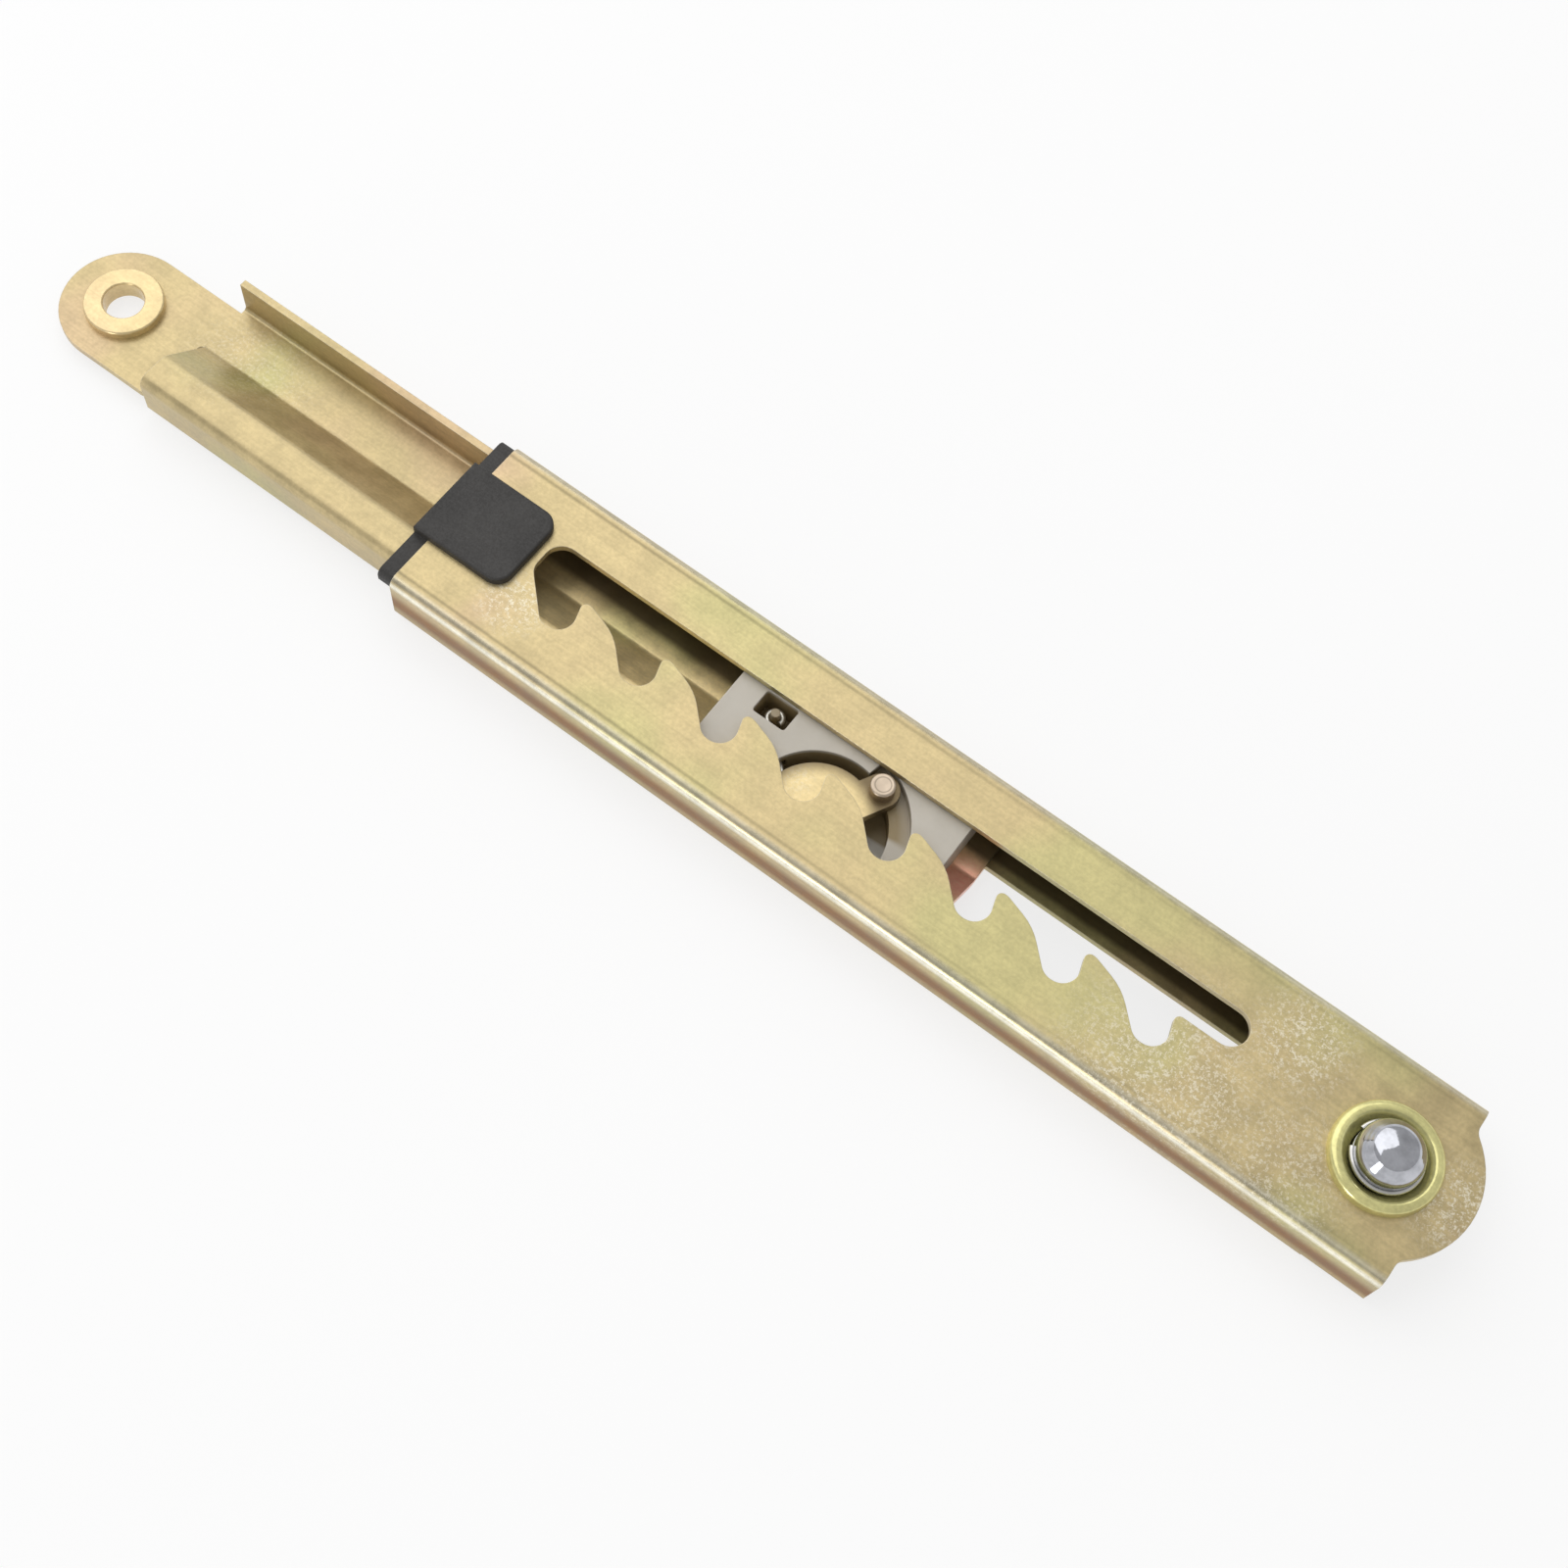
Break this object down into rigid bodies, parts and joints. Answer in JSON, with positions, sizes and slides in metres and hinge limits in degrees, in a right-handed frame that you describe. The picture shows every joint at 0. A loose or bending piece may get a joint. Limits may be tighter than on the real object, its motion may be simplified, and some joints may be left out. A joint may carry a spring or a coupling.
{
  "type": "ratchet table bracket",
  "caption": "Telescopic ratchet bracket for a drop leaf table: a folded channel with a toothed slot, a sliding rail and a latch pin.",
  "frame": {"origin": "pivot axis at the channel's eye, in the plane of the channel's rear lips, at the mouth of the pivot nut's tapped hole", "axes": "+X along the bracket from the pivot to the rail's free end, +Y to the toothed side of the slot, +Z out of the channel's web, along the pivot axis"},
  "size_m": [0.3203, 0.038, 0.021],
  "materials": {
    "zinc_channel": "yellow zinc plate, satin, slightly iridescent",
    "zinc_rail": "yellow zinc plate, satin",
    "zinc_small": "yellow zinc plate on small turned and stamped pieces",
    "bright_chrome": "polished",
    "black_moulding": "fine moulded grain",
    "white_moulding": "smooth, slightly translucent",
    "bright_steel": "bright drawn steel"
  },
  "bodies": {
    "housing": {"housing_channel": "zinc_channel", "end_cap": "black_moulding", "pivot_bush": "zinc_small"},
    "pivot": {"pivot_nut": "bright_chrome", "snap_ring": "bright_steel"},
    "rail": {"inner_rail": "zinc_rail", "rail_end_bush": "zinc_small", "guide_pads": "white_moulding", "latch_block": "white_moulding", "block_screws": "bright_steel", "lever_rivet": "bright_steel", "latch_spring": "bright_steel"},
    "latch": {"latch_lever": "zinc_small", "latch_pin": "bright_steel"}
  },
  "joints": [
    {"name": "rail_slide", "type": "slide", "parent": "housing", "child": "rail", "axis": [1, 0, 0], "range_m": [-0.0561, 0.0748]},
    {"name": "latch_drop", "type": "hinge", "parent": "rail", "child": "latch", "pos_m": [0.11382, 0.008, 0], "axis": [0, 0, -1], "range_deg": [0, 51.8]},
    {"name": "pivot_turn", "type": "hinge", "parent": "housing", "child": "pivot", "pos_m": [0, 0, 0], "axis": [0, 0, 1], "continuous": true}
  ]
}
